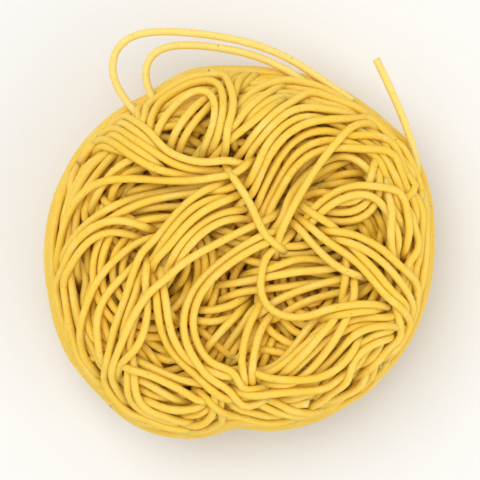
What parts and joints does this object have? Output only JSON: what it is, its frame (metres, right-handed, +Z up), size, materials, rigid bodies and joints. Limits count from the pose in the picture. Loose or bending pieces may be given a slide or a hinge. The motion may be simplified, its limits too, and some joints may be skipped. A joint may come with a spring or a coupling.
{
  "type": "nest of dried vermicelli",
  "caption": "Round flat-based nest of thin dried pasta strands, wound round its side and crossed in swirling bundles over the crown, with a loose loop at the edge.",
  "frame": {"origin": "the middle of the nest's flat underside, where it rests", "axes": "+Z up through the crown, along the nest's height; +Y towards the loose loop at the edge"},
  "size_m": [0.0611, 0.0636, 0.0263],
  "materials": {
    "pasta": "dried vermicelli, satin to matt, pale yellow"
  },
  "bodies": {
    "root": {"vermicelli_nest": "pasta"}
  },
  "joints": []
}
